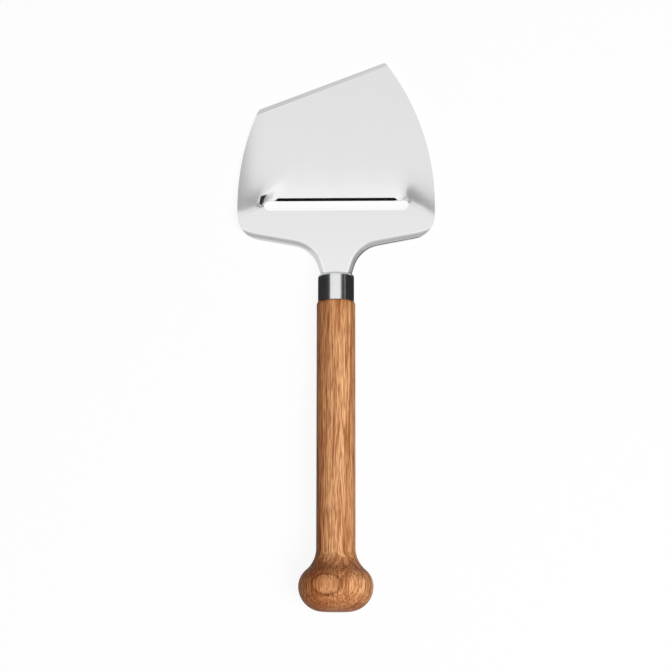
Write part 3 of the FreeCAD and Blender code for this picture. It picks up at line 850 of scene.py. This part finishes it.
def across(start, stop, edge, other_edge):
    """Corners of a board from one X to another, between two edges that are given as (y, z)."""
    return [(start, *edge), (stop, *edge), (stop, *other_edge), (start, *other_edge)]


def along(start, stop, edge, other_edge):
    """Corners of a board from one Y to another, between two edges that are given as (x, z)."""
    (x, z), (other_x, other_z) = edge, other_edge
    return [(x, start, z), (x, stop, z), (other_x, stop, other_z), (other_x, start, other_z)]


def studio_cards():
    """Name, tone and corners of the cards that hang round the table."""
    # The edges of the opening over which the softboxes hang, and of the cards in front of it.
    left, right, front, back = -1.10, 0.68, 0.06, 0.68
    side, end = 1.2, -0.9
    return (
        ("top", 0.0, across(left, right, (front, 1.01), (back, 1.01))),
        ("back", 0.45, across(left, 0.8, (back, 1.0), (1.25, 1.0))),
        ("front_high", 0.95, across(-side, side, (front, 1.02), (-0.42, 1.02))),
        ("front_middle", 0.69, across(-side, side, (-0.42, 1.02), (end, 0.8))),
        ("front_low", 0.66, across(-side, side, (end, 0.8), (end, 0.0))),
        ("right_high", 0.67, along(end, back, (right, 1.02), (1.0, 0.7))),
        ("right_low", 0.50, along(end, back, (1.0, 0.7), (1.0, 0.0))),
    )


def close_cards():
    """Name, tone and corners of the small cards close to the blade; two are placed by its slot."""
    slot = frame["record"]["physics"]["openings"][0]["box_m"]
    (slot_left, slot_front, _), (slot_right, slot_back, _) = slot
    under_lip = slot_front - 0.1 * MM
    return (
        ("neck", 0.25, across(0.006, 0.05, (0.015, 0.3 * MM), (0.034, 0.3 * MM))),
        ("slot", 0.0, across(
            slot_left - 4 * MM, slot_right + 4 * MM, (under_lip, 0.2 * MM), (under_lip, 6 * MM))),
        ("dimple", 0.03, across(
            slot_left - 5.5 * MM, slot_left - 1.6 * MM,
            (slot_back - 0.5 * MM, 6.6 * MM), (slot_back + 2.9 * MM, 6.6 * MM))),
        ("left_edge", 0.6, across(-0.075, -0.043, (0.070, 0.048), (0.130, 0.048))),
    )


def add_sleeve(name, tone, start, stop):
    """Part of the sleeve round the ferrule; the angles in degrees count from the top to the right."""
    count = max(1, round(abs(stop - start) / SLEEVE_STEP))
    turns = [math.radians(start + (stop - start) * i / count) for i in range(count + 1)]
    corners = [
        (SLEEVE_RADIUS * math.sin(turn), y, SLEEVE_RADIUS * math.cos(turn))
        for turn in turns for y in SLEEVE_ENDS
    ]
    faces = [(2 * i, 2 * i + 1, 2 * i + 3, 2 * i + 2) for i in range(count)]
    sleeve = add_card(name, tone, corners, faces)
    sleeve.data.transform(Matrix.Translation(seat_point()) @ TURN.to_4x4())


def add_lamp(name, place, aim, size, radiance, in_reflections=True):
    """A soft rectangular lamp that looks at a point; it lights matt surfaces or shows in reflections."""
    data = bpy.data.lights.new(name, "AREA")
    data.shape = "RECTANGLE"
    data.size, data.size_y = size
    data.energy = radiance * math.pi * size[0] * size[1]
    lamp = bpy.data.objects.new(name, data)
    lamp.location = place
    lamp.rotation_euler = (Vector(aim) - Vector(place)).to_track_quat("-Z", "Y").to_euler()
    lamp.visible_glossy = in_reflections
    lamp.visible_diffuse = not in_reflections
    bpy.context.scene.collection.objects.link(lamp)


def add_sky(scene):
    """A plain white world that adds little light of its own."""
    world = bpy.data.worlds.new("studio")
    world.use_nodes = True
    tree = world.node_tree
    strength = add_range(tree, seen_directly(tree), 0.0, 1.0, SKY_LIGHT, 1.0)
    background = tree.nodes["Background"]
    background.inputs["Color"].default_value = (1, 1, 1, 1)
    tree.links.new(strength, background.inputs["Strength"])
    scene.world = world


def add_camera(scene, stage):
    """The camera, which looks down at the tool and leans a little towards the knob."""
    lens = bpy.data.cameras.new("camera")
    lens.angle = stage.camera_angle
    lens.clip_start = 0.01
    camera = bpy.data.objects.new("camera", lens)
    pitch = stage.camera_pitch
    away = Vector((0, -math.sin(pitch), math.cos(pitch)))
    camera.location = Vector(stage.aim) + away * stage.camera_distance
    camera.rotation_euler = (pitch, 0, 0)
    scene.collection.objects.link(camera)
    scene.camera = camera


class PLANE_OT_stage(bpy.types.Operator):
    """Set up the floor, the lamps, the cards and the camera"""

    bl_idname = "plane.stage"
    bl_label = "Stage"

    def execute(self, context):
        scene = context.scene
        stage = scene.plane_stage
        half = stage.floor_size / 2
        add_board("floor", across(-half, half, (-half, 0), (half, 0)), pale_floor(stage))
        add_lamp("softbox", (-0.21, 0.485, 1.0), (-0.21, 0.485, 0.0), (1.78, 0.39), 1.21)
        add_lamp("softbox_front", (-0.21, 0.175, 1.0), (-0.21, 0.175, 0.0), (1.78, 0.23), 1.5)
        add_lamp("key", (0.36, -0.38, 1.05), (0, 0, 0), (0.7, 0.7), 9.6, in_reflections=False)
        for name, tone, corners in (*studio_cards(), *close_cards()):
            board = add_card(name + "_card", tone, corners)
            # The dimple's card also keeps the lamps off the metal under it.
            board.visible_shadow = name == "dimple"
        for name, tone, start, stop in SLEEVE_PARTS:
            add_sleeve(name + "_sleeve", tone, start, stop)
        add_sky(scene)
        add_camera(scene, stage)
        scene.view_settings.view_transform = "Standard"
        return {"FINISHED"}


class PLANE_PT_panel(bpy.types.Panel):
    """Sizes, colours and makers of the cheese plane"""

    bl_idname = "PLANE_PT_panel"
    bl_label = "Cheese plane"
    bl_space_type = "VIEW_3D"
    bl_region_type = "UI"
    bl_category = "Cheese plane"

    def draw(self, context):
        for name, group in GROUPS.items():
            box = self.layout.box()
            box.label(text=name.removeprefix("plane_").capitalize())
            for key in group.__annotations__:
                box.prop(getattr(context.scene, name), key)
        for maker in OPERATORS:
            self.layout.operator(maker.bl_idname)


OPERATORS = (PLANE_OT_blade, PLANE_OT_ferrule, PLANE_OT_handle, PLANE_OT_adhesive, PLANE_OT_stage)
GROUPS = {
    "plane_handle": HandleSizes,
    "plane_ferrule": FerruleSizes,
    "plane_oak": OakColours,
    "plane_steel": SteelColours,
    "plane_stage": StageSizes,
}


def register():
    for name, group in GROUPS.items():
        bpy.utils.register_class(group)
        setattr(bpy.types.Scene, name, PointerProperty(type=group))
    for maker in (*OPERATORS, PLANE_PT_panel):
        bpy.utils.register_class(maker)


def unregister():
    for maker in (PLANE_PT_panel, *reversed(OPERATORS)):
        bpy.utils.unregister_class(maker)
    for name, group in reversed(GROUPS.items()):
        delattr(bpy.types.Scene, name)
        bpy.utils.unregister_class(group)


def main():
    """Builds every piece and the stage."""
    register()
    for maker in OPERATORS:
        section, name = maker.bl_idname.split(".")
        getattr(getattr(bpy.ops, section), name)()


if __name__ == "__main__":
    main()
